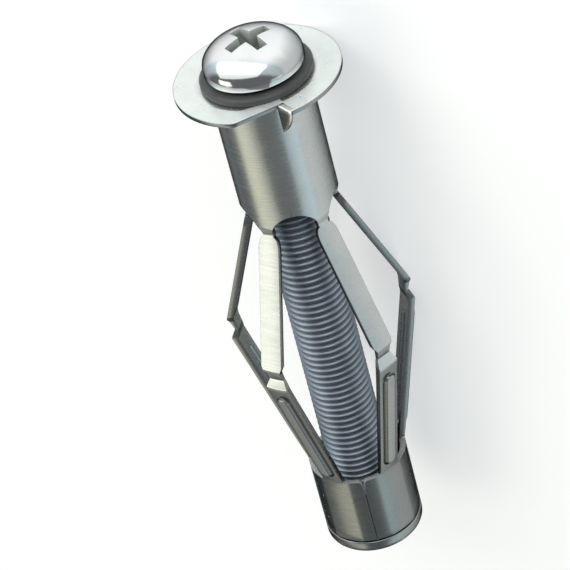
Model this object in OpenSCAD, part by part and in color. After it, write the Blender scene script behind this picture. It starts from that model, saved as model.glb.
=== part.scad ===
// Hollow wall anchor: a machine screw through a pressed sheet sleeve whose five legs stand half
// folded, and a nut fixed in the sleeve's far end. Turning the screw draws the nut to the flange.
// Every piece is modelled along the screw's axis, with the flange's front face at z = 0, the head
// above it and the nut below. lay_down() then rests the anchor on its flange and two elbows.

/* [Screw] */
// Diameter over the screw's thread
thread_d = 7.84; // [7:0.02:8.4]
// Depth of the thread, which the tip's chamfer takes away
thread_depth = 0.56; // [0.4:0.02:0.9]
// Length of the screw from under its head to its tip
screw_len = 72.8; // [70.6:0.1:80]
// Diameter of the pan head
head_d = 12; // [11:0.1:13.2]
// Height of the undercut that lifts the head's edge off the washer
head_undercut = 0.6; // [0.3:0.05:0.9]
// Height of the head's straight side
head_side_h = 0.75; // [0.4:0.05:1.5]
// Height of the head's dome
head_dome_h = 3; // [2.6:0.1:4]
// Length of the cross recess over two arms
cross_span = 5.4; // [4.6:0.1:6.4]
// Width of one arm of the cross recess
cross_w = 1.25; // [1:0.05:1.6]
// Depth of the cross recess
cross_depth = 2.6; // [2:0.1:3]
// Turn of the cross recess about the axis
cross_turn = 68; // [0:1:90]

/* [Washer] */
// Outer diameter of the washer
washer_d = 13.5; // [12.8:0.1:15]
// Thickness of the washer
washer_t = 0.85; // [0.6:0.05:1.4]
// Play of the washer round the thread
washer_play = 0.28; // [0.1:0.02:0.5]
// Bevel on the washer's upper edge
washer_bevel = 0.25; // [0.1:0.05:0.4]

/* [Sleeve] */
// Thickness of the rolled sheet
sheet_t = 0.8; // [0.6:0.05:0.95]
// Outer diameter of the collar, which fills the hole in the wall
collar_d = 12; // [11.6:0.1:12.4]
// Length of the collar from the flange's face to its feet, where the straps grow out
collar_len = 19.1; // [14:0.1:24]
// Height of the arches between the collar's feet
arch_rise = 2.45; // [1.5:0.05:2.8]
// Number of legs
leg_count = 5; // [4:1:6]
// Outer diameter of the end collar
end_d = 12.5; // [12.1:0.1:13]
// Length of the end collar
end_len = 10; // [9.2:0.1:14]
// Width of the seam where the end collar's two edges meet
seam_w = 0.25; // [0.15:0.05:0.5]
// Radius of the rounded mouth at the top of the seam
seam_mouth_r = 0.45; // [0.3:0.05:0.7]

/* [Flange] */
// Diameter of the flange
flange_d = 20; // [18:0.1:22]
// Thickness of the flange, where the sheet is drawn thinner
flange_t = 0.5; // [0.4:0.05:0.8]
// Radius of the bend under the flange
bend_r = 0.4; // [0.2:0.05:0.6]
// Radius of the rounded mouth of the collar
mouth_r = 0.5; // [0.3:0.05:0.7]
// Distance from the axis to the straight cut that frees each prong
prong_cut_r = 7.7; // [7.3:0.1:8.4]
// Length of the prongs below the flange's face
prong_len = 3.7; // [3:0.1:6]
// Radius of the curved edge of a prong
prong_edge_r = 6; // [5:0.1:9]
// Angle between a prong's plane and the radius through its outer corner
prong_turn = 15; // [5:1:25]
// Position of the first prong about the axis
prong_angle = 235; // [228:1:240]

/* [Legs] */
// Width of the legs
leg_w = 2.8; // [2.4:0.05:3.2]
// Width of a strap at its root
root_w = 1.5; // [1.2:0.05:1.8]
// Depth that a strap's root is drawn in from the collar's face
root_inset = 0.3; // [0:0.05:0.5]
// Distance from the collar's feet down to the bend of the straps
root_drop = 0.2; // [0.1:0.05:0.6]
// Length of a strap's rounded shoulder
shoulder_len = 1.6; // [0.8:0.1:2.4]
// Axial length of the upper strap
upper_len = 16.3; // [14:0.1:22]
// Radius that the elbow's upper corner reaches
elbow_r = 11.85; // [10.5:0.05:13]
// Width of the strap where it ends at the elbow
elbow_end_w = 2.3; // [2:0.05:2.4]
// Width of the neck in the elbow's fold
elbow_neck_w = 1.8; // [1.4:0.05:2]
// Depth of the elbow's fold
fold_depth = 0.65; // [0.4:0.05:1.2]
// Thickness of the sheet at the bottom of the fold, where it is coined thin
fold_t = 0.4; // [0.3:0.05:0.6]
// Axial length of the fold's upper face
fold_upper_len = 1.75; // [1.4:0.05:2.2]
// Axial length of the fold's lower face
fold_lower_len = 1.05; // [0.8:0.05:1.4]
// Radius that the lower leg's top edge reaches
ledge_r = 11.8; // [10.5:0.05:13]
// Axial length of the lower leg
lower_len = 19.9; // [16:0.1:24]
// Radius of the bar that shapes the pressed rib
rib_r = 0.9; // [0.6:0.05:1]
// Height of the rib over the lower leg
rib_h = 0.5; // [0.3:0.05:0.7]
// Radius of the hollow behind the rib
rib_hollow_r = 0.45; // [0.3:0.05:0.5]
// Distance from the lower leg's top edge to the rib's centre
rib_start = 2.6; // [1.6:0.1:4]
// Distance from the rib's lower centre to the end collar
rib_end = 2.4; // [1.6:0.1:5]

/* [Nut] */
// Height of the nut's rim below the end collar
nut_rim_h = 2.15; // [1.6:0.05:3]
// Radius of the rim's lower edge
nut_edge_r = 0.9; // [0.4:0.05:1.2]
// Height of the nut's barrel inside the end collar
nut_barrel_h = 7.5; // [5:0.1:8.5]
// Chamfer at the barrel's top and at both mouths of the bore
nut_chamfer = 0.45; // [0.3:0.05:0.6]
// Radial play of the screw in the nut
nut_play = 0.05; // [0.02:0.01:0.1]

/* [Hidden] */

$fn = 96;
eps = 0.01;
arc_steps = 8;
dome_steps = 18;

thread_r = thread_d / 2;
head_r = head_d / 2;
tip_z = washer_t - screw_len;
head_edge_z = washer_t + head_undercut;
dome_z = head_edge_z + head_side_h;
crown_z = dome_z + head_dome_h;
undercut_in = 0.6;
recess_floor_r = 0.9;

collar_r = collar_d / 2;
collar_in = collar_r - sheet_t;
flange_r = flange_d / 2;
end_r = end_d / 2;
end_in = end_r - sheet_t;

// Heights of the leg's folds, from the collar down to the end collar
root_z = -collar_len;
strap_z = root_z - root_drop;
elbow_z = strap_z - upper_len;
fold_z = elbow_z - fold_upper_len;
ledge_z = fold_z - fold_lower_len;
foot_z = ledge_z - lower_len;
end_z = foot_z - end_len;

leg_pitch = 360 / leg_count;
root_lap = 0.9;
lap_sink = 0.2;

// Outer face of a leg's sheet as [radius, height] points, from the collar to the end collar
leg_face = [
    [collar_r - root_inset, strap_z],
    [elbow_r, elbow_z],
    [elbow_r - fold_depth, fold_z],
    [ledge_r, ledge_z],
    [end_r, foot_z],
];

function unit(v) = v / norm(v);
function inward(a, b) = let (d = unit(b - a)) [d.y, -d.x];
// Point of the sheet's inner face behind corner i, where two faces set in by t meet
function behind(path, i, t) =
    let (n = inward(path[i - 1], path[i]), m = inward(path[i], path[i + 1]))
    path[i] + t * (n + m) / (1 + n * m);
function reversed(list) = [for (i = [len(list) - 1:-1:0]) list[i]];
function mirrored(side) = concat(side, [for (p = reversed(side)) [-p.x, p.y]]);

// The same face with the short laps that run on inside the two collars' walls
lapped_face = concat(
    [[collar_r - lap_sink, root_z + root_lap]],
    leg_face,
    [[end_r - lap_sink, foot_z - root_lap]]
);
upper_lap_in = [collar_in + lap_sink, root_z + root_lap];
lower_lap_in = [end_in + lap_sink, foot_z - root_lap];
straight_face = concat([[collar_r, 0]], leg_face, [[end_r, end_z]]);
leg_back_t = [sheet_t, sheet_t, fold_t, sheet_t, sheet_t];
leg_back = [for (i = [1:len(leg_face)]) behind(straight_face, i, leg_back_t[i - 1])];

// Where the elbows of the two lowest legs and the flange's rim meet the floor
side_turn = leg_pitch / 2;
elbow_low = elbow_r * cos(side_turn) + elbow_end_w / 2 * sin(side_turn);
ledge_low = ledge_r * cos(side_turn) + leg_w / 2 * sin(side_turn);
lie_tilt = max(
    atan((elbow_low - flange_r) / -elbow_z),
    atan((ledge_low - flange_r) / -ledge_z)
);
lie_h = flange_r * cos(lie_tilt);
lie_x = -(crown_z + tip_z) / 2 * cos(lie_tilt);

// Lays an upright piece on its side, head towards +X and the first leg upwards
module lay_down() {
    translate([lie_x, 0, lie_h])
        rotate([0, 90 + lie_tilt, 0])
            children();
}

module round_copies(count) {
    for (i = [0:count - 1])
        rotate([0, 0, i * 360 / count])
            children();
}

// Pan head in section: undercut seat, straight side and an elliptical dome
module head_section() {
    dome = [
        for (i = [0:dome_steps])
            let (t = 90 * i / dome_steps)
            [head_r * cos(t), dome_z + head_dome_h * sin(t)]
    ];
    polygon(concat(
        [[0, washer_t], [head_r - undercut_in, washer_t], [head_r, head_edge_z]],
        dome
    ));
}

// Four-armed driver recess whose arms narrow to a small floor
module cross_recess() {
    recess_top = crown_z + eps;
    rotate([0, 0, cross_turn])
        intersection() {
            union()
                for (turn = [0, 90])
                    rotate([0, 0, turn])
                        translate([-cross_span / 2, -cross_w / 2, recess_top - cross_depth])
                            cube([cross_span, cross_w, cross_depth]);
            translate([0, 0, recess_top - cross_depth])
                cylinder(h = cross_depth, r1 = recess_floor_r, r2 = cross_span);
        }
}

module screw() {
    shank_h = -tip_z - thread_depth;
    color("gainsboro")
        difference() {
            union() {
                rotate_extrude()
                    head_section();
                translate([0, 0, -shank_h])
                    cylinder(h = shank_h + washer_t + eps, r = thread_r);
                translate([0, 0, tip_z])
                    cylinder(h = thread_depth, r1 = thread_r - thread_depth, r2 = thread_r);
            }
            cross_recess();
        }
}

module washer() {
    washer_r = washer_d / 2;
    color("dimgray")
        difference() {
            union() {
                cylinder(h = washer_t - washer_bevel, r = washer_r);
                translate([0, 0, washer_t - washer_bevel])
                    cylinder(h = washer_bevel, r1 = washer_r, r2 = washer_r - washer_bevel);
            }
            translate([0, 0, -eps])
                cylinder(h = washer_t + 2 * eps, r = thread_r + washer_play);
        }
}

// Collar and flange in section, with the bend under the flange and the rounded mouth
module collar_section() {
    difference() {
        union() {
            translate([collar_in, root_z])
                square([sheet_t, collar_len]);
            translate([collar_in, -flange_t])
                square([flange_r - collar_in, flange_t]);
            difference() {
                translate([collar_r - eps, -flange_t - bend_r])
                    square(bend_r + eps);
                translate([collar_r + bend_r, -flange_t - bend_r])
                    circle(r = bend_r);
            }
        }
        difference() {
            translate([collar_in - eps, -mouth_r])
                square(mouth_r + eps);
            translate([collar_in + mouth_r, -mouth_r])
                circle(r = mouth_r);
        }
    }
}

// One bore-wide arch across the collar's end, between two strap roots
module arch_cut() {
    half_w = collar_r * sin(side_turn - asin(root_w / collar_d));
    arch_r = (half_w * half_w + arch_rise * arch_rise) / (2 * arch_rise);
    translate([0, 0, root_z + arch_rise - arch_r])
        rotate([0, 90, 0])
            cylinder(h = collar_d, r = arch_r);
}

// Half of the rim's segment beyond a straight cut, freed to make a prong
module prong_cut() {
    translate([prong_cut_r, -flange_r, -flange_t - eps])
        cube([flange_r, flange_r, flange_t + 2 * eps]);
}

// Pointed prong, folded down from the rim so that it bites into the wall
module prong() {
    prong_w = (flange_r - prong_cut_r) / cos(prong_turn);
    chord = norm([prong_w, prong_len]);
    inset = sqrt(pow(prong_edge_r, 2) - pow(chord / 2, 2));
    outward = [prong_len, -prong_w] / chord;
    centre = [prong_w, -prong_len] / 2 - inset * outward;
    translate([prong_cut_r, -prong_w * sin(prong_turn), 0])
        rotate([90, 0, prong_turn])
            linear_extrude(height = flange_t, center = true)
                intersection() {
                    translate([0, -prong_len])
                        square([prong_w, prong_len]);
                    translate(centre)
                        circle(r = prong_edge_r);
                }
}

// Outline of a leg seen from outside, as half widths down its length
module leg_outline() {
    shoulder_z = strap_z - lap_sink;
    shoulder = [
        for (i = [0:arc_steps])
            let (t = 90 * i / arc_steps)
            [root_w + (leg_w - root_w) * sin(t), shoulder_z - shoulder_len * (1 - cos(t))]
    ];
    side = concat(
        [[root_w, root_z + 2 * root_lap]],
        shoulder,
        [
            [leg_w, elbow_z + (leg_w - elbow_end_w)],
            [elbow_end_w, elbow_z],
            [elbow_neck_w, elbow_z - (elbow_end_w - elbow_neck_w)],
            [elbow_neck_w, fold_z],
            [leg_w, ledge_z],
            [leg_w, foot_z - 2 * root_lap],
        ]
    );
    polygon(mirrored([for (p = side) [p.x / 2, p.y]]));
}

// Bar with round ends, laid along the lower leg at a given depth under its outer face
module rib_bar(r, depth) {
    run = leg_face[3] - leg_face[4];
    lean = atan(run.x / run.y);
    along = unit(run);
    under = inward(leg_face[3], leg_face[4]) * depth;
    low = leg_face[4] + along * rib_end + under;
    bar_len = norm(run) - rib_start - rib_end;
    translate([low.x, 0, low.y])
        rotate([0, lean, 0]) {
            cylinder(h = bar_len, r = r);
            sphere(r = r);
            translate([0, 0, bar_len])
                sphere(r = r);
        }
}

// One leg: a strap, a folded elbow and a ribbed lower leg
module leg() {
    difference() {
        union() {
            intersection() {
                rotate([90, 0, 0])
                    linear_extrude(height = 2 * leg_w, center = true)
                        polygon(concat(
                            lapped_face, [lower_lap_in], reversed(leg_back), [upper_lap_in]
                        ));
                rotate([90, 0, 90])
                    linear_extrude(height = 2 * elbow_r)
                        leg_outline();
            }
            rib_bar(rib_r, rib_r - rib_h);
        }
        rib_bar(rib_hollow_r, sheet_t);
    }
}

// Rolled end collar, open along its seam
module end_collar() {
    difference() {
        translate([0, 0, end_z])
            cylinder(h = end_len, r = end_r);
        translate([0, 0, end_z - eps])
            cylinder(h = end_len + 2 * eps, r = end_in);
        rotate([0, 0, side_turn]) {
            translate([0, -seam_w / 2, end_z - eps])
                cube([end_d, seam_w, end_len + 2 * eps]);
            translate([0, 0, foot_z])
                rotate([0, 90, 0])
                    cylinder(h = end_d, r = seam_mouth_r);
        }
    }
}

module sleeve() {
    color("lightsteelblue")
        union() {
            difference() {
                rotate_extrude()
                    collar_section();
                rotate([0, 0, 180 + side_turn])
                    round_copies(leg_count)
                        arch_cut();
                rotate([0, 0, prong_angle])
                    round_copies(2)
                        prong_cut();
            }
            rotate([0, 0, prong_angle])
                round_copies(2)
                    prong();
            rotate([0, 0, 180]) {
                round_copies(leg_count)
                    leg();
                end_collar();
            }
        }
}

module nut() {
    bore_r = thread_r + nut_play;
    color("darkgray")
        difference() {
            rotate_extrude()
                union() {
                    polygon([
                        [0, end_z],
                        [end_in, end_z],
                        [end_in, end_z + nut_barrel_h - nut_chamfer],
                        [end_in - nut_chamfer, end_z + nut_barrel_h],
                        [0, end_z + nut_barrel_h],
                    ]);
                    translate([0, end_z - nut_rim_h + nut_edge_r])
                        square([end_r, nut_rim_h - nut_edge_r]);
                    translate([0, end_z - nut_rim_h])
                        square([end_r - nut_edge_r, nut_rim_h]);
                    intersection() {
                        translate([end_r - nut_edge_r, end_z - nut_rim_h + nut_edge_r])
                            circle(r = nut_edge_r);
                        translate([0, end_z - nut_rim_h])
                            square([end_r, nut_rim_h]);
                    }
                }
            translate([0, 0, end_z - nut_rim_h - eps])
                cylinder(h = nut_rim_h + nut_barrel_h + 2 * eps, r = bore_r);
            translate([0, 0, end_z - nut_rim_h])
                cylinder(h = nut_chamfer, r1 = bore_r + nut_chamfer, r2 = bore_r);
            translate([0, 0, end_z + nut_barrel_h - nut_chamfer])
                cylinder(h = nut_chamfer, r1 = bore_r, r2 = bore_r + nut_chamfer);
        }
}

lay_down() screw();
lay_down() washer();
lay_down() sleeve();
lay_down() nut();
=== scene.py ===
import math

import bpy
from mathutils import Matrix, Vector


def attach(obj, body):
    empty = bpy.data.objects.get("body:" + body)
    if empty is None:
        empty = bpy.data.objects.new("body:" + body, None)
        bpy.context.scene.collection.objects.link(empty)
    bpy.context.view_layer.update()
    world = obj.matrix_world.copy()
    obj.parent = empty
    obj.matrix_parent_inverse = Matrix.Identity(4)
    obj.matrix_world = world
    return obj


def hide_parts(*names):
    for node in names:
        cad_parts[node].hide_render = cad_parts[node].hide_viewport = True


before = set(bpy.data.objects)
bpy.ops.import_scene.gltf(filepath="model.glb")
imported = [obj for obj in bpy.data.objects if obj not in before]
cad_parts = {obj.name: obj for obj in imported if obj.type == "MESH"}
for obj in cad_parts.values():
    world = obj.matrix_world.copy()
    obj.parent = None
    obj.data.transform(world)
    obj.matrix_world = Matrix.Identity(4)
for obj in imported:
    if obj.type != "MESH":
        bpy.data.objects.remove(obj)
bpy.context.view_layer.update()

# ---- Sleeve -------------------------------------------------------------------------------
# One piece of zinc-plated steel sheet, rolled into a tube round the screw and pressed: a collar
# with a flange and two folded prongs, five slit legs that stand half folded at their coined
# elbows, a rib pressed into each lower leg, and an end collar whose two edges meet at a seam.
rest_tilt = math.radians(0.551007)
to_head = Vector((math.cos(rest_tilt), 0, -math.sin(rest_tilt)))
to_top = Vector((math.sin(rest_tilt), 0, math.cos(rest_tilt)))
rest_at = Vector((33.37346, 0, 9.99954))

sheet = 0.8
collar_r = 6.0
end_r = 6.25
flange_r = 10.0
flange_t = 0.5
legs = 5
pitch_angle = math.radians(72)
first_leg = math.radians(180)
crown_z, foot_z, end_z = -16.65, -58.3, -68.3


def laid(x, y, z):
    """A point of the upright anchor, in mm, where it lies on its side, in metres."""
    return (rest_at - x * to_top + Vector((0, y, 0)) + z * to_head) / 1000


def rounded(corners, fine=4):
    """A line through corners (a, b, radius) with each corner turned into an arc."""
    line = []
    for i, (a, b, r) in enumerate(corners):
        p = Vector((a, b))
        if not r:
            line.append(p)
            continue
        back = (Vector(corners[i - 1][:2]) - p).normalized()
        on = (Vector(corners[(i + 1) % len(corners)][:2]) - p).normalized()
        half = back.angle(on) / 2
        middle = p + (back + on).normalized() * r / math.sin(half)
        start = p + back * r / math.tan(half) - middle
        finish = p + on * r / math.tan(half) - middle
        turn = start.angle(finish)
        for k in range(fine + 1):
            near = math.sin(turn * (1 - k / fine)) / math.sin(turn)
            far = math.sin(turn * k / fine) / math.sin(turn)
            line.append(middle + start * near + finish * far)
    return line


def along(table, z):
    """The values beside z in a table whose first column falls."""
    for a, b in zip(table, table[1:]):
        if z >= b[0]:
            k = min(1.0, max(0.0, (a[0] - z) / max(a[0] - b[0], 1e-9)))
            return [p + (q - p) * k for p, q in zip(a[1:], b[1:])]
    return list(table[-1][1:])


def ease(k):
    k = min(1.0, max(0.0, k))
    return k * k * (3 - 2 * k)


# Outer and inner face of the sheet down one leg, as matching corners (radius, height, arc)
face_line = rounded([
    (collar_r, crown_z, 0), (collar_r, -18.25, 1.2), (5.72, -19.35, 0.5), (11.85, -35.6, 0.3),
    (11.2, -37.35, 0.28), (11.8, -38.4, 0.22), (end_r, foot_z, 1.0), (end_r, end_z, 0),
])
back_line = rounded([
    (collar_r - sheet, crown_z, 0), (collar_r - sheet, -18.4, 0.6), (4.92, -19.5, 1.2),
    (10.99, -35.58, 0.3), (10.75, -37.4, 0.5), (10.93, -38.53, 0.3),
    (end_r - sheet, foot_z - 0.12, 0.5), (end_r - sheet, end_z, 0),
])
leg_table = [(f.y, f.x, b.x, b.y) for f, b in zip(face_line, back_line)]

# Half width of the sheet, from the arch beside a leg down to the end collar
arch_rise, arch_half = 2.45, 2.893
arch_r = (arch_half ** 2 + arch_rise ** 2) / (2 * arch_rise)
width_line = []
for k in range(17):
    t = math.radians(90 * k / 16)
    gap = math.asin(min(1.0, arch_r * math.sin(t) / collar_r))
    width_line.append((crown_z - arch_r * (1 - math.cos(t)), collar_r * (pitch_angle / 2 - gap)))
root_half = width_line[-1][1]
leg_half, shoulder = 1.42, 1.6
for k in range(11):
    t = math.radians(90 * k / 10)
    width_line.append((
        -19.62 - shoulder * (1 - math.cos(t)), root_half + (leg_half - root_half) * math.sin(t)
    ))
width_line += [(p.y, p.x) for p in rounded([
    (leg_half, -34.7, 0), (leg_half, -35.15, 0.3), (1.2, -35.65, 0.12), (0.95, -36.1, 0.25),
    (0.95, -37.25, 0.25), (leg_half, -38.3, 0.15), (leg_half, -39, 0),
])]
foot_arc = 0.45
for k in range(9):
    t = math.radians(90 * k / 8)
    width_line.append((
        foot_z + foot_arc * (1 - math.sin(t)), leg_half + foot_arc * (1 - math.cos(t))
    ))
foot_half = leg_half + foot_arc

# Radius of the curve that the rolled sheet keeps across its width
curve_table = [
    (0, collar_r), (-18.4, collar_r), (-21.5, 10), (-33, 13), (-36, 16), (-38.5, 16), (-41, 12),
    (-54, 10), (foot_z, end_r), (end_z, end_r),
]

# Pressed rib of a lower leg: where it starts and ends along the leg, its height and edges
ledge = Vector((11.8, -38.4))
rib_from, rib_to = 2.9, 18.4
rib_h, rib_foot, rib_top = 0.5, 0.98, 0.6

# Flats that the press leaves round the end collar: half their angle, and how full they are
half_facet, facet_depth = math.radians(18), 0.35


def leg_rows():
    """Heights at which the sheet gets a row of points, from the arch's crown to the foot."""
    stops = {round(z, 4) for z, *_ in leg_table if crown_z >= z >= foot_z}
    stops |= {round(z, 4) for z, _ in width_line}
    for centre in (ledge.y - rib_from * 0.962, ledge.y - rib_to * 0.962):
        stops |= {round(centre + 0.09 * k, 4) for k in range(-12, 13)}
    stops = sorted((z for z in stops if crown_z >= z >= foot_z), reverse=True)
    rows = [stops[0]]
    for z in stops[1:]:
        if rows[-1] - z < 0.025 and z != stops[-1]:
            continue
        steps = max(1, round((rows[-1] - z) / 0.8))
        top = rows[-1]
        rows += [top + (z - top) * k / steps for k in range(1, steps + 1)]
    return rows


def sheet_point(z, t):
    """Outer and inner point of the sheet at height z and t mm round from the leg's middle."""
    r, back_r, back_z = along(leg_table, z)
    above, below = along(leg_table, z + 0.06)[0], along(leg_table, z - 0.06)[0]
    out = Vector((0.12, above - below)).normalized()
    curve = along(curve_table, z)[0]
    lean = t / curve
    if z < foot_z + 1.5:
        side = (lean + half_facet) % (2 * half_facet) - half_facet
        depth = facet_depth * min(1, (foot_z + 1.5 - z) / 2)
        flat = depth * (1 - math.cos(half_facet) / math.cos(side))
        r -= end_r * flat * math.cos(lean)
    face = Vector((r, z)) + out * curve * (math.cos(lean) - 1)
    back = Vector((back_r, back_z)) + out * (curve - sheet) * (math.cos(lean) - 1)
    face_y, back_y = curve * math.sin(lean), (curve - sheet) * math.sin(lean)
    shade = 1.0
    if foot_z < z < ledge.y:
        s = (Vector((r, z)) - ledge).length
        away = math.hypot(max(0, rib_from - s, s - rib_to), t)
        face += out * rib_h * ease((rib_foot - away) / (rib_foot - rib_top))
        back += out * 0.45 * ease((0.62 - away) / 0.35)
        # Painted highlight on the rib's top and painted shade along its edges
        rib_top_light = ease((rib_foot - 0.2 - away) / 0.3)
        rib_edge_shade = ease(1 - abs(away - rib_foot + 0.1) / 0.22)
        shade += 0.3 * rib_top_light - 0.65 * rib_edge_shade
    return (face.x, face_y, face.y), (back.x, back_y, back.y), shade


pair_of, pairs, shades, quads = {}, [], [], []


def pair(turn, face, back, shade=1.0):
    """Index of a matched outer and inner point, turned about the axis to its leg."""
    c, s = math.cos(turn), math.sin(turn)
    face = (face[0] * c - face[1] * s, face[0] * s + face[1] * c, face[2])
    back = (back[0] * c - back[1] * s, back[0] * s + back[1] * c, back[2])
    key = tuple(round(v, 3) for v in face)
    if key not in pair_of:
        pair_of[key] = len(pairs)
        pairs.append((face, back))
        shades.append(shade)
    return pair_of[key]


def weave(rows):
    """Joins rows of pair indices into quads that face outwards."""
    for upper, lower in zip(rows, rows[1:]):
        for k in range(len(upper) - 1):
            quads.append((upper[k], lower[k], lower[k + 1], upper[k + 1]))


# Columns of points across a leg, as shares of its half width, closest at the rib's edges
across = [
    0, 0.12, 0.24, 0.35, 0.43, 0.47, 0.51, 0.55, 0.59, 0.63, 0.67, 0.74, 0.84, 0.93, 0.975, 1,
]
across = [-f for f in reversed(across[1:])] + across
seam_half, seam_mouth = 0.125, 0.45
seam_turn = first_leg + pitch_angle / 2
prong_turns = (math.radians(235), math.radians(55))
prong_cut, rim_break = 7.7, 0.12
cut_angle = math.acos(prong_cut / flange_r)


def rim(turn):
    """Radius and angle of the flange's edge beside a column of the collar."""
    column = pitch_angle / 2 * 0.04  # widest step between columns near a cut
    for at in prong_turns:
        off = (turn - at + math.pi) % (2 * math.pi) - math.pi
        if -column * 1.01 < off <= 0:
            return prong_cut, turn - off - math.radians(0.15)
        if 0 < off <= column * 1.01:
            return flange_r, turn - off + math.radians(0.15)
        if abs(off + cut_angle) < column / 2:
            return flange_r - rim_break, turn - off - cut_angle
        if -cut_angle < off < 0:
            return prong_cut / math.cos(off), turn
    return flange_r, turn


bend_face = rounded(
    [(collar_r, crown_z, 0), (collar_r, -flange_t, 0.4), (flange_r, -flange_t, 0)], 6
)
bend_back = rounded(
    [(collar_r - sheet, crown_z, 0), (collar_r - sheet, 0, 0.5), (flange_r, 0, 0)], 6
)
for leg in range(legs):
    turn = first_leg + leg * pitch_angle
    rows = []
    # flange, from its rim inwards
    for part in (1, 0.975, 0.93, 0.7, 0.4):
        row = []
        for f in across:
            angle = turn + f * pitch_angle / 2
            edge, edge_angle = rim(angle)
            angle += (edge_angle - angle) * part
            inner_f, inner_b = bend_face[-2].x, bend_back[-2].x
            rf, rb = inner_f + (edge - inner_f) * part, inner_b + (edge - inner_b) * part
            row.append(pair(
                0,
                (rf * math.cos(angle), rf * math.sin(angle), -flange_t),
                (rb * math.cos(angle), rb * math.sin(angle), 0),
            ))
        rows.append(row)
    # bend and collar
    tube = list(zip(reversed(bend_face[1:-1]), reversed(bend_back[1:-1])))
    tube += [(a.lerp(bend_face[0], k / 8), b.lerp(bend_back[0], k / 8))
             for a, b in [tube[-1]] for k in range(1, 9)]
    for a, b in tube:
        rows.append([
            pair(turn + f * pitch_angle / 2, (a.x, 0, a.y), (b.x, 0, b.y)) for f in across
        ])
    # leg
    for z in leg_rows()[1:]:
        half = along(width_line, z)[0]
        rows.append([pair(turn, *sheet_point(z, f * half)) for f in across])
    weave(rows)
    foot_row = rows[-1]
    # end collar
    rows = [foot_row]
    depths = [seam_mouth * (1 - math.cos(math.radians(9 * k))) for k in range(1, 11)]
    depths += [1.5, 3, 4.5, 6, 7.5, 9, foot_z - end_z]
    for side in (-1, 1):
        wing = []
        for depth in [0] + depths:
            reach = end_r * pitch_angle / 2
            if abs(turn + side * pitch_angle / 2 - seam_turn) < 0.01:
                reach -= max(seam_half, math.sqrt(max(0, seam_mouth ** 2 - depth ** 2)))
            spans = [foot_half + (reach - foot_half) * k / 8 for k in range(9)]
            row = [pair(turn, *sheet_point(foot_z - depth, side * t)) for t in spans]
            wing.append(row if side > 0 else row[::-1])
        weave(wing)
    for depth in depths:
        rows.append([pair(turn, *sheet_point(foot_z - depth, f * foot_half)) for f in across])
    weave(rows)

count = len(pairs)
verts = [laid(*face) for face, _ in pairs] + [laid(*back) for _, back in pairs]
faces = quads + [tuple(v + count for v in reversed(q)) for q in quads]
edge_use = {}
for q in quads:
    for a, b in zip(q, q[1:] + q[:1]):
        edge_use[(a, b)] = edge_use.get((a, b), 0) + 1
for a, b in edge_use:
    if (b, a) not in edge_use:
        faces.append((b, a, a + count, b + count))


def new_piece(name, verts, faces, body, stands_for=()):
    """A mesh object at the origin that rides on a body."""
    mesh = bpy.data.meshes.new(name)
    mesh.from_pydata([tuple(v) for v in verts], [], faces)
    mesh.validate()
    piece = bpy.data.objects.new(name, mesh)
    bpy.context.scene.collection.objects.link(piece)
    mesh.shade_smooth()
    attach(piece, body)
    if stands_for:
        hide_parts(*stands_for)
    return piece


sleeve = new_piece("sleeve_sheet", verts, faces, "anchor", ["sleeve"])
soften = sleeve.modifiers.new("soften", "BEVEL")
soften.width = 0.00007
soften.segments = 2
soften.limit_method = "ANGLE"
soften.angle_limit = math.radians(72)
soften.use_clamp_overlap = True


# Painted light and shade in the tone: the flange's face lit, the sheared ends between the legs
# lighter, other edges shaded
lit_flange_tone, sheared_lit_tone, edge_shade_tone = 1.0, 0.8, 0.32


def painted_tone_of(point, outside):
    """Painted light and shade of the plating at a point, by region: the flange's face lit, the
    rest darker.
    """
    r, z = math.hypot(point[0], point[1]), point[2]
    if z > -0.55 and r > 6.0:
        return 0.5 if outside else lit_flange_tone
    if not outside:
        return 0.45
    if z > -36.3:
        return 0.52
    if z > -38.7:
        return 0.6
    return 0.36 if z > foot_z else 0.29


# Painted light and shade: each point's tone by region, times the rib's painted highlight and shade
painted_tones = [painted_tone_of(f, True) * k for (f, _), k in zip(pairs, shades)]
painted_tones += [painted_tone_of(b, False) for _, b in pairs]
# Painted shade on the sheet's cut edges, and a lighter painted tone on the sheared ends between
# the legs
for a, b in edge_use:
    if (b, a) in edge_use:
        continue
    for v in (a, b):
        x, y, z = pairs[v][0]
        off = (math.atan2(y, x) - first_leg + pitch_angle / 2) % pitch_angle - pitch_angle / 2
        top_end = abs(z - foot_z) < 0.5 and abs(off) * end_r > leg_half + 0.1
        for side in (v, v + count):
            painted_tones[side] = sheared_lit_tone if top_end else edge_shade_tone
tone = sleeve.data.attributes.new("tone", "FLOAT", "POINT")
tone.data.foreach_set("value", painted_tones)


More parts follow.
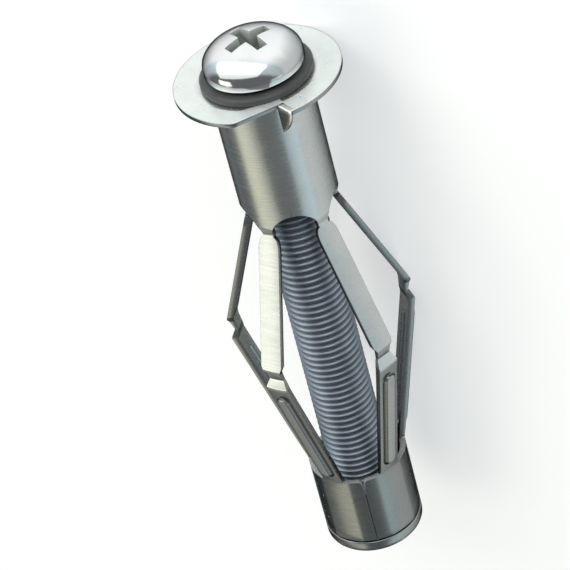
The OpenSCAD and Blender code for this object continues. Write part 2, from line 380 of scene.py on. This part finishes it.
def surface(
    name, bright, dull, rough, edge, grain=(5200, 260, 260), bump=0.25, metallic=1.0, tone=None
):
    """Turned or rolled metal: cloudy plating, fine marks across the axis, and gloss that varies
    with the marks; a named tone attribute adds painted light and shade.
    """
    mat = bpy.data.materials.new(name)
    mat.use_nodes = True
    nodes, links = mat.node_tree.nodes, mat.node_tree.links
    shader = nodes["Principled BSDF"]
    shader.inputs["Metallic"].default_value = metallic
    shader.inputs["Specular Tint"].default_value = (*edge, 1)
    coords = nodes.new("ShaderNodeTexCoord")

    def noise(scale, detail, roughness):
        spread = nodes.new("ShaderNodeMapping")
        spread.inputs["Scale"].default_value = scale
        links.new(coords.outputs["Object"], spread.inputs["Vector"])
        cloud = nodes.new("ShaderNodeTexNoise")
        cloud.inputs["Scale"].default_value = 1
        cloud.inputs["Detail"].default_value = detail
        cloud.inputs["Roughness"].default_value = roughness
        links.new(spread.outputs[0], cloud.inputs["Vector"])
        return cloud.outputs[0]

    marks, clouds = noise(grain, 3, 0.6), noise((190, 190, 190), 4, 0.62)
    stain = nodes.new("ShaderNodeMapRange")
    stain.inputs[1].default_value, stain.inputs[2].default_value = 0.32, 0.72
    links.new(clouds, stain.inputs[0])
    paint = nodes.new("ShaderNodeMix")
    paint.data_type = "RGBA"
    paint.inputs[6].default_value, paint.inputs[7].default_value = (*bright, 1), (*dull, 1)
    links.new(stain.outputs[0], paint.inputs[0])
    drawn = nodes.new("ShaderNodeMapRange")
    drawn.inputs[1].default_value, drawn.inputs[2].default_value = 0.3, 0.7
    drawn.inputs[3].default_value, drawn.inputs[4].default_value = 0.96, 1.03
    links.new(marks, drawn.inputs[0])
    shade = drawn.outputs[0]
    # Painted light and shade: the named tone attribute scales the colour
    if tone:
        left = nodes.new("ShaderNodeAttribute")
        left.attribute_name = tone
        both = nodes.new("ShaderNodeMath")
        both.operation = "MULTIPLY"
        links.new(left.outputs["Fac"], both.inputs[0])
        links.new(shade, both.inputs[1])
        shade = both.outputs[0]
    tint = nodes.new("ShaderNodeVectorMath")
    tint.operation = "SCALE"
    links.new(paint.outputs[2], tint.inputs[0])
    links.new(shade, tint.inputs["Scale"])
    links.new(tint.outputs[0], shader.inputs["Base Color"])
    gloss = nodes.new("ShaderNodeMapRange")
    gloss.inputs[1].default_value, gloss.inputs[2].default_value = 0.3, 0.7
    gloss.inputs[3].default_value, gloss.inputs[4].default_value = rough
    links.new(marks, gloss.inputs[0])
    links.new(gloss.outputs[0], shader.inputs["Roughness"])
    relief = nodes.new("ShaderNodeBump")
    relief.inputs["Strength"].default_value = bump
    relief.inputs["Distance"].default_value = 0.00003
    links.new(marks, relief.inputs["Height"])
    links.new(relief.outputs[0], shader.inputs["Normal"])
    return mat


sleeve.data.materials.append(surface(
    "zinc_sheet", (0.97, 0.99, 0.975), (0.86, 0.92, 0.9), (0.23, 0.34), (0.02, 0.02, 0.03),
    bump=0.05, tone="tone",
))
sleeve.data.materials.append(surface(
    "sheared_edge", (0.66, 0.68, 0.66), (0.5, 0.52, 0.5), (0.5, 0.62), (0.3, 0.3, 0.3),
    grain=(900, 900, 900), bump=0.2, metallic=0.3, tone="tone",
))
sleeve.data.materials.append(surface(
    "zinc_face", (0.93, 0.96, 0.93), (0.84, 0.89, 0.85), (0.26, 0.4), (0.02, 0.02, 0.03),
    grain=(500, 500, 500), bump=0.03, metallic=0.6, tone="tone",
))
for face in sleeve.data.polygons:
    if all(painted_tones[v] == sheared_lit_tone for v in face.vertices):
        face.material_index = 1
    elif all(painted_tones[v] == lit_flange_tone for v in face.vertices):
        face.material_index = 2

# ---- Prongs -------------------------------------------------------------------------------
# Two pointed lugs of the same zinc-plated sheet, cut free at the flange's rim and folded down,
# so that they bite into the wall and stop the sleeve from turning.
prong_len, prong_tip, prong_edge_r, prong_lean = 3.7, 0.14, 6.0, math.radians(15)
prong_w = (flange_r - prong_cut) / math.cos(prong_lean)
chord = math.hypot(prong_w, prong_len)
inset = math.sqrt(prong_edge_r ** 2 - (chord / 2) ** 2)
edge_at = (prong_w / 2 - inset * prong_len / chord, -prong_len / 2 + inset * prong_w / chord)
fold = [(0.5, 0.012), (0.3, 0.014), (0.1, 0.014)]
fold += [(0.05 - 0.3 * math.sin(math.radians(a)), -0.286 + 0.3 * math.cos(math.radians(a)))
         for a in range(0, 91, 15)]
fold += [(-0.25, -0.286 - (prong_len - 0.36) * k / 10) for k in range(1, 11)]
# the inner face turns in a sharp corner, with as many points as the outer fold
inner = [(0.5, -0.15), (0.3, -0.3), (0.27, -0.4)]
inner += [(0.25, -0.45 + 0.002 * k) for k in range(7)]
inner += [(0.25, -0.45 - (prong_len - 0.524) * k / 10) for k in range(1, 11)]
verts, faces, painted_tones = [], [], []
for at in prong_turns:
    start = len(verts)
    c, s = math.cos(at), math.sin(at)
    for path in (fold, inner):
        for t, z in path:
            reach = edge_at[0] + math.sqrt(max(0, prong_edge_r ** 2 - (z - edge_at[1]) ** 2))
            reach = prong_w if z > 0 else max(prong_tip, min(prong_w, reach))
            for k in range(7):
                u = reach * k / 6
                x = prong_cut + u * math.cos(prong_lean) - t * math.sin(prong_lean)
                y = (u - prong_w) * math.sin(prong_lean) + t * math.cos(prong_lean)
                verts.append(laid(x * c - y * s, x * s + y * c, z))
                # Painted light and shade: the fold lit white, the prong darker lower down except
                # beside its rim, its inner face darker
                rim_side = ease((u - reach + 0.5) / 0.5)
                deep = ease(-z / 0.7)
                painted_tones.append(1 - deep * 0.62 * (1 - rim_side) if path is fold else 0.5)
    rows, half = len(fold), len(fold) * 7
    for r in range(rows - 1):
        for k in range(6):
            a = start + r * 7 + k
            faces.append((a, a + 7, a + 8, a + 1))
            faces.append((a + half + 1, a + half + 8, a + half + 7, a + half))
        for k in (0, 6):
            a = start + r * 7 + k
            q = (a, a + half, a + half + 7, a + 7)
            faces.append(q if k == 0 else q[::-1])
    for r in (0, rows - 1):
        for k in range(6):
            a = start + r * 7 + k
            q = (a, a + 1, a + half + 1, a + half)
            faces.append(q if r == 0 else q[::-1])
prongs = new_piece("flange_prongs", verts, faces, "anchor")
soften = prongs.modifiers.new("soften", "BEVEL")
soften.width = 0.00006
soften.segments = 2
soften.limit_method = "ANGLE"
soften.angle_limit = math.radians(50)
tone = prongs.data.attributes.new("tone", "FLOAT", "POINT")
tone.data.foreach_set("value", painted_tones)
prongs.data.materials.append(surface(
    "prong_sheet", (0.95, 0.91, 0.84), (0.8, 0.75, 0.67), (0.2, 0.34), (0.02, 0.02, 0.03),
    tone="tone",
))


# ---- Nut ----------------------------------------------------------------------------------
# Turned steel barrel nut, zinc plated, pushed into the end collar and held by it. Its rim
# stops against the sheet's end; the bore is tapped for the screw.
def turned(name, outline, body, stands_for, around=128):
    """A piece turned on a lathe from a closed outline of (radius, height) points."""
    verts, faces = [], []
    for k in range(around):
        t = 2 * math.pi * k / around
        verts += [laid(p.x * math.cos(t), p.x * math.sin(t), p.y) for p in outline]
    n = len(outline)
    for k in range(around):
        a, b = k * n, (k + 1) % around * n
        faces += [(a + i, b + i, b + (i + 1) % n, a + (i + 1) % n) for i in range(n)]
    return new_piece(name, verts, faces, body, stands_for)


nut_shape = rounded([
    (3.98, -60.4, 0.2), (3.98, -70.0, 0), (4.4, -70.45, 0.15), (end_r - 0.01, -70.45, 0.9),
    (end_r - 0.01, -68.6, 0.14), (5.8, -68.58, 0.05), (5.8, -68.32, 0.05), (5.44, -68.32, 0.05),
    (5.44, -61.2, 0.2), (4.95, -60.8, 0.2),
], 6)
nut = turned("barrel_nut", nut_shape, "anchor", ["nut"])
nut.data.materials.append(surface(
    "nut_plating", (0.34, 0.36, 0.35), (0.13, 0.14, 0.15), (0.2, 0.38), (0.03, 0.03, 0.04),
    bump=0.3,
))

# ---- Washer -------------------------------------------------------------------------------
# Stamped steel washer, blackened, that the head drives against the flange. Its upper edge is
# broken by a small bevel and its lower edge by the die.
washer_shape = rounded([
    (4.2, 0.02, 0.08), (6.74, 0.0, 0.1), (6.75, 0.6, 0.07), (6.5, 0.85, 0.07), (4.2, 0.85, 0.12),
], 4)
washer = turned("black_washer", washer_shape, "washer_carriage", ["washer"])
washer.data.materials.append(surface(
    "blackened_steel", (0.1, 0.1, 0.094), (0.06, 0.061, 0.06), (0.34, 0.5), (0.6, 0.6, 0.6),
    bump=0.3, metallic=0.0,
))

# ---- Screw --------------------------------------------------------------------------------
# Head of a machine screw of bright plated steel. It is cold formed in one blow with its cross
# recess and its undercut edge, and polished by tumbling.
head_r, edge_z, dome_z, dome_h = 6.0, 1.45, 2.2, 3.0
recess_turn, recess_half, arm_half, recess_depth = math.radians(68), 2.85, 0.76, 2.6
corners = []
for k in range(4):
    c, s = round(math.cos(k * math.pi / 2)), round(math.sin(k * math.pi / 2))
    for x, y, r in ((arm_half, -arm_half, 0.12), (recess_half, -arm_half * 0.95, 0.1),
                    (recess_half, arm_half * 0.95, 0.1)):
        corners.append((x * c - y * s, x * s + y * c, r))
ring = rounded(corners, 4)
cross = []
for a, b in zip(ring, ring[1:] + ring[:1]):
    steps = max(1, round((b - a).length / 0.3))
    cross += [a.lerp(b, k / steps) for k in range(steps)]
verts, faces, rows = [], [], []


def dome(r):
    return dome_z + dome_h * math.sqrt(max(0, 1 - (r / head_r) ** 2))


def cone(r):
    return dome_z + dome_h - recess_depth * min(1, 1 - (r - 0.9) / 4.5)


painted_tones = []


def add_row(point, shade=1.0):
    rows.append(len(verts))
    painted_tones.extend([shade] * len(cross))
    c, s = math.cos(recess_turn), math.sin(recess_turn)
    for p in cross:
        x, y, z = point(p)
        verts.append(laid(x * c - y * s, x * s + y * c, z))


def out_by(p, d):
    return p * (1 + d / p.length)


# Painted shade in the recess: its floor darkest, its walls lighter towards the lip
add_row(lambda p: (*(p.normalized() * 0.05), cone(0)), 0.16)
add_row(lambda p: (*(p.normalized() * 0.5), cone(0)), 0.16)
for f in (0.55, 0.8, 0.97):
    add_row(lambda p: (*(p * f * 0.96), cone(p.length * f)), 0.18)
add_row(lambda p: (*(p * 0.965), cone(p.length) + 0.08), 0.3)
for f in (0.3, 0.6, 0.85):
    def wall(p):
        low = cone(p.length)
        return (*(p * (0.965 + 0.035 * f)), low + (dome(p.length) - low) * f)
    add_row(wall, 0.25 + 0.75 * f)
lip = 0.07
for a in (0, 22, 45, 68, 90):
    out, drop = lip * (1 - math.cos(math.radians(a))), lip * (1 - math.sin(math.radians(a)))
    add_row(lambda p: (*out_by(p, out), dome(p.length + out) - drop))
# Painted shade: the dome darker towards its rim
for f in (
    0.03, 0.07, 0.13, 0.2, 0.28, 0.36, 0.44, 0.52, 0.6, 0.68, 0.75, 0.81, 0.86, 0.9, 0.93, 0.955,
    0.975, 0.99, 1,
):
    def place(p):
        r = p.length + lip + (head_r - p.length - lip) * f
        q = p.normalized() * r
        return (*q, dome(r))
    add_row(place, 1 - 0.45 * ease((f - 0.45) / 0.5))
side = rounded([(head_r, dome_z, 0), (head_r, edge_z, 0.14), (5.4, 0.85, 0.1), (3.2, 0.85, 0)], 4)
for q in side[1:]:
    add_row(lambda p: (*(p.normalized() * q.x), q.y))
n = len(cross)
recess_rows = 9
for a, b in zip(rows, rows[1:]):
    faces += [(a + k, b + k, b + (k + 1) % n, a + (k + 1) % n) for k in range(n)]
floor_face = len(faces)
faces.append(tuple(rows[0] + k for k in range(n)))
faces.append(tuple(rows[-1] + k for k in reversed(range(n))))
screw_head = new_piece("pan_head", verts, faces, "screw_body", ["screw"])
screw_head.data.set_sharp_from_angle(angle=math.radians(48))
tone = screw_head.data.attributes.new("tone", "FLOAT", "POINT")
tone.data.foreach_set("value", painted_tones)
screw_head.data.materials.append(surface(
    "bright_plating", (0.93, 0.93, 0.94), (0.86, 0.88, 0.88), (0.1, 0.16), (0.02, 0.02, 0.03),
    grain=(400, 400, 400), bump=0.03, tone="tone",
))
screw_head.data.materials.append(surface(
    "punched_recess", (0.95, 0.98, 0.93), (0.8, 0.83, 0.78), (0.34, 0.5), (0.3, 0.3, 0.3),
    grain=(900, 900, 900), bump=0.2, metallic=0.35, tone="tone",
))
for face in screw_head.data.polygons:
    if face.index < recess_rows * n or face.index == floor_face:
        face.material_index = 1

# ---- Thread -------------------------------------------------------------------------------
# The screw's shank, of the same steel as the head. The right-hand thread is rolled on between
# two dies, all the way down to the chamfered tip. Painted shade keeps its valleys darker than
# its crests.
thread_look = surface(
    "rolled_thread", (0.4, 0.45, 0.51), (0.31, 0.35, 0.4), (0.4, 0.52), (0.1, 0.1, 0.12),
    grain=(1500, 900, 900), bump=0.08, metallic=0.9, tone="tone",
)
tree = bpy.data.node_groups.new("rolled_thread", "GeometryNodeTree")
tree.interface.new_socket("Geometry", in_out="OUTPUT", socket_type="NodeSocketGeometry")
sizes = {
    "Pitch": 0.92, "Radius": 3.92, "Depth": 0.56, "Low": -71.95, "High": 0.8, "Chamfer": 0.56,
    "Around": 56.0,
}
for label, value in sizes.items():
    socket = tree.interface.new_socket(label, in_out="INPUT", socket_type="NodeSocketFloat")
    socket.default_value = value
tree.interface.new_socket("Look", in_out="INPUT", socket_type="NodeSocketMaterial")
g_in = tree.nodes.new("NodeGroupInput")
g_out = tree.nodes.new("NodeGroupOutput")


def calc(how, *values):
    node = tree.nodes.new("ShaderNodeMath")
    node.operation = how
    for socket, value in zip(node.inputs, values):
        if isinstance(value, (int, float)):
            socket.default_value = value
        else:
            tree.links.new(value, socket)
    return node.outputs[0]


pitch, radius, depth, low, high, chamfer, around = (g_in.outputs[k] for k in sizes)
turns = calc("ADD", calc("CEIL", calc("DIVIDE", calc("SUBTRACT", high, low), pitch)), 1)
columns = calc("MULTIPLY", turns, around)
grid = tree.nodes.new("GeometryNodeMeshGrid")
grid.inputs["Vertices Y"].default_value = 11
tree.links.new(calc("ADD", columns, 1), grid.inputs["Vertices X"])
where = tree.nodes.new("GeometryNodeInputPosition")
split = tree.nodes.new("ShaderNodeSeparateXYZ")
tree.links.new(where.outputs[0], split.inputs[0])
step = calc("ROUND", calc("MULTIPLY", calc("ADD", split.outputs[0], 0.5), columns))
turn = calc("DIVIDE", step, around)
over = calc("ADD", split.outputs[1], 0.5)
climb = calc("MULTIPLY", pitch, calc("ADD", turn, over))
height = calc("ADD", calc("SUBTRACT", low, pitch), climb)
flank = tree.nodes.new("ShaderNodeMapRange")
flank.interpolation_type = "SMOOTHSTEP"
flank.inputs[1].default_value, flank.inputs[2].default_value = 0.06, 0.9
from_middle = calc("ABSOLUTE", calc("SUBTRACT", calc("MULTIPLY", over, 2), 1))
tree.links.new(calc("SUBTRACT", 1, from_middle), flank.inputs[0])
reach = calc("SUBTRACT", radius, calc("MULTIPLY", depth, flank.outputs[0]))
end_r_in = calc("SUBTRACT", radius, chamfer)
clamped = calc("MINIMUM", calc("MAXIMUM", height, low), high)
reach = calc("MINIMUM", reach, calc("ADD", end_r_in, calc("SUBTRACT", clamped, low)))
topped = calc("GREATER_THAN", height, calc("SUBTRACT", high, 0.0001))
below_top = calc("MULTIPLY", reach, calc("SUBTRACT", 1, topped))
reach = calc("ADD", below_top, calc("MULTIPLY", end_r_in, topped))
angle = calc("MULTIPLY", calc("FRACT", turn), 2 * math.pi)
joined = tree.nodes.new("ShaderNodeCombineXYZ")
tree.links.new(calc("MULTIPLY", reach, calc("COSINE", angle)), joined.inputs[0])
tree.links.new(calc("MULTIPLY", reach, calc("SINE", angle)), joined.inputs[1])
tree.links.new(clamped, joined.inputs[2])
move = tree.nodes.new("GeometryNodeSetPosition")
tree.links.new(grid.outputs["Mesh"], move.inputs["Geometry"])
tree.links.new(joined.outputs[0], move.inputs["Position"])
together = tree.nodes.new("GeometryNodeJoinGeometry")
for level in (high, low):
    cap = tree.nodes.new("GeometryNodeMeshCircle")
    cap.fill_type = "NGON"
    tree.links.new(around, cap.inputs["Vertices"])
    tree.links.new(end_r_in, cap.inputs["Radius"])
    lift = tree.nodes.new("ShaderNodeCombineXYZ")
    tree.links.new(level, lift.inputs[2])
    put = tree.nodes.new("GeometryNodeSetPosition")
    tree.links.new(cap.outputs[0], put.inputs["Geometry"])
    tree.links.new(lift.outputs[0], put.inputs["Offset"])
    shape = put.outputs[0]
    if level is low:
        over_turn = tree.nodes.new("GeometryNodeFlipFaces")
        tree.links.new(shape, over_turn.inputs[0])
        shape = over_turn.outputs[0]
    tree.links.new(shape, together.inputs[0])
tree.links.new(move.outputs[0], together.inputs[0])
weld = tree.nodes.new("GeometryNodeMergeByDistance")
weld.inputs["Distance"].default_value = 0.002
tree.links.new(together.outputs[0], weld.inputs["Geometry"])
smooth = tree.nodes.new("GeometryNodeSetShadeSmooth")
tree.links.new(weld.outputs[0], smooth.inputs["Geometry"])
real = tree.nodes.new("GeometryNodeRealizeInstances")
tree.links.new(smooth.outputs[0], real.inputs[0])
look = tree.nodes.new("GeometryNodeSetMaterial")
tree.links.new(real.outputs[0], look.inputs["Geometry"])
tree.links.new(g_in.outputs["Look"], look.inputs["Material"])
tree.links.new(look.outputs[0], g_out.inputs[0])
maker = bpy.data.objects.new("thread_maker", bpy.data.meshes.new("thread_maker"))
bpy.context.scene.collection.objects.link(maker)
grow = maker.modifiers.new("thread", "NODES")
grow.node_group = tree
for item in tree.interface.items_tree:
    if item.in_out == "INPUT":
        grow[item.identifier] = thread_look if item.name == "Look" else sizes[item.name]
graph = bpy.context.evaluated_depsgraph_get()
mesh = bpy.data.meshes.new_from_object(maker.evaluated_get(graph))
maker.modifiers.remove(grow)
bpy.data.objects.remove(maker)
tone = mesh.attributes.new("tone", "FLOAT", "POINT")
# Painted shade: the thread's valleys darker than its crests
valley_r = sizes["Radius"] - sizes["Depth"]
for vertex, shade in zip(mesh.vertices, tone.data):
    crest = (math.hypot(vertex.co.x, vertex.co.y) - valley_r) / sizes["Depth"]
    shade.value = 0.5 + 0.5 * ease(crest)
    vertex.co = laid(*vertex.co)
mesh.name = "threaded_shank"
shank = bpy.data.objects.new("threaded_shank", mesh)
bpy.context.scene.collection.objects.link(shank)
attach(shank, "screw_body")
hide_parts("screw")

# ---- Stage --------------------------------------------------------------------------------
# White paper on a table, lit by five softboxes. For camera and glossy rays the paper also glows,
# white near the part and fading further out to a cool blue, a painted reflection for the metal.
# The room's walls are pale low down and dim higher up, and the pale part reaches higher beyond
# the head.
bpy.ops.mesh.primitive_plane_add(size=6, location=(0, 0, -0.00002))
floor = bpy.context.object
floor.name = "floor"
paper = bpy.data.materials.new("paper_sweep")
paper.use_nodes = True
nodes, links = paper.node_tree.nodes, paper.node_tree.links
nodes.clear()
ray = nodes.new("ShaderNodeLightPath")
seen = nodes.new("ShaderNodeMath")
seen.operation = "MAXIMUM"
links.new(ray.outputs["Is Camera Ray"], seen.inputs[0])
links.new(ray.outputs["Is Glossy Ray"], seen.inputs[1])
place = nodes.new("ShaderNodeTexCoord")
far = nodes.new("ShaderNodeVectorMath")
far.operation = "LENGTH"
links.new(place.outputs["Object"], far.inputs[0])
# Painted reflection: the paper's glow fades from white to cool blue away from the part
fade = nodes.new("ShaderNodeMapRange")
fade.interpolation_type = "SMOOTHSTEP"
fade.inputs[1].default_value, fade.inputs[2].default_value = 0.08, 0.24
links.new(far.outputs["Value"], fade.inputs[0])
hue = nodes.new("ShaderNodeMix")
hue.data_type = "RGBA"
hue.inputs[6].default_value, hue.inputs[7].default_value = (1, 1, 1, 1), (0.45, 0.68, 0.78, 1)
links.new(fade.outputs[0], hue.inputs[0])
white = nodes.new("ShaderNodeEmission")
links.new(hue.outputs[2], white.inputs["Color"])
lift = nodes.new("ShaderNodeMath")
lift.operation = "MULTIPLY"
lift.inputs[1].default_value = 0.44
links.new(seen.outputs[0], lift.inputs[0])
links.new(lift.outputs[0], white.inputs["Strength"])
matte = nodes.new("ShaderNodeBsdfDiffuse")
matte.inputs["Color"].default_value = (0.8, 0.8, 0.8, 1)
total = nodes.new("ShaderNodeAddShader")
links.new(matte.outputs[0], total.inputs[0])
links.new(white.outputs[0], total.inputs[1])
out = nodes.new("ShaderNodeOutputMaterial")
links.new(total.outputs[0], out.inputs[0])
floor.data.materials.append(paper)

world = bpy.data.worlds.new("studio")
bpy.context.scene.world = world
world.use_nodes = True
nodes, links = world.node_tree.nodes, world.node_tree.links
sky = nodes["Background"]
compass = nodes.new("ShaderNodeTexCoord")
level = nodes.new("ShaderNodeVectorMath")
level.operation = "DOT_PRODUCT"
level.inputs[1].default_value = (-0.4, 0, 1)
links.new(compass.outputs["Generated"], level.inputs[0])
room = nodes.new("ShaderNodeMapRange")
room.interpolation_type = "SMOOTHSTEP"
room.inputs[1].default_value, room.inputs[2].default_value = 0.12, 0.42
links.new(level.outputs["Value"], room.inputs[0])
walls = nodes.new("ShaderNodeMix")
walls.data_type = "RGBA"
walls.inputs[6].default_value = (0.78, 0.89, 0.94, 1)
walls.inputs[7].default_value = (0.22, 0.235, 0.24, 1)
links.new(room.outputs[0], walls.inputs[0])
links.new(walls.outputs[2], sky.inputs["Color"])


def softbox(name, toward, size, radiance, color, far=0.7):
    data = bpy.data.lights.new(name, "AREA")
    data.shape = "RECTANGLE"
    data.size, data.size_y = size
    data.energy = radiance * math.pi * size[0] * size[1]
    data.color = color
    lamp = bpy.data.objects.new(name, data)
    bpy.context.scene.collection.objects.link(lamp)
    lamp.location = Vector(toward).normalized() * far
    lamp.rotation_euler = (-Vector(toward)).to_track_quat("-Z", "Y").to_euler()
    return lamp


softbox("key_box", (-0.05, 0.55, 0.83), (0.36, 0.36), 2.1, (1, 0.98, 0.86))
softbox("warm_box", (-0.6, 0.3, 0.74), (0.5, 0.3), 1.1, (1, 0.95, 0.74))
softbox("head_box", (0.85, 0.2, 0.46), (1.2, 0.7), 1.32, (1, 1, 0.99))
softbox("cool_box", (-0.59, -0.78, 0.17), (0.5, 0.4), 0.8, (0.76, 0.92, 1))
softbox("tail_box", (-0.83, 0.5, 0.22), (0.3, 0.22), 0.7, (1, 0.95, 0.88))

camera = bpy.data.objects.new("camera", bpy.data.cameras.new("camera"))
bpy.context.scene.collection.objects.link(camera)
camera.data.lens = 193.35
camera.data.sensor_width = 36
camera.data.clip_start, camera.data.clip_end = 0.01, 20
camera.location = (0.22529859, -0.19089565, 0.23759157)
camera.rotation_euler = tuple(math.radians(a) for a in (-45.33112, 30.258263, -104.559785))
bpy.context.scene.camera = camera
bpy.context.scene.view_settings.view_transform = "Standard"
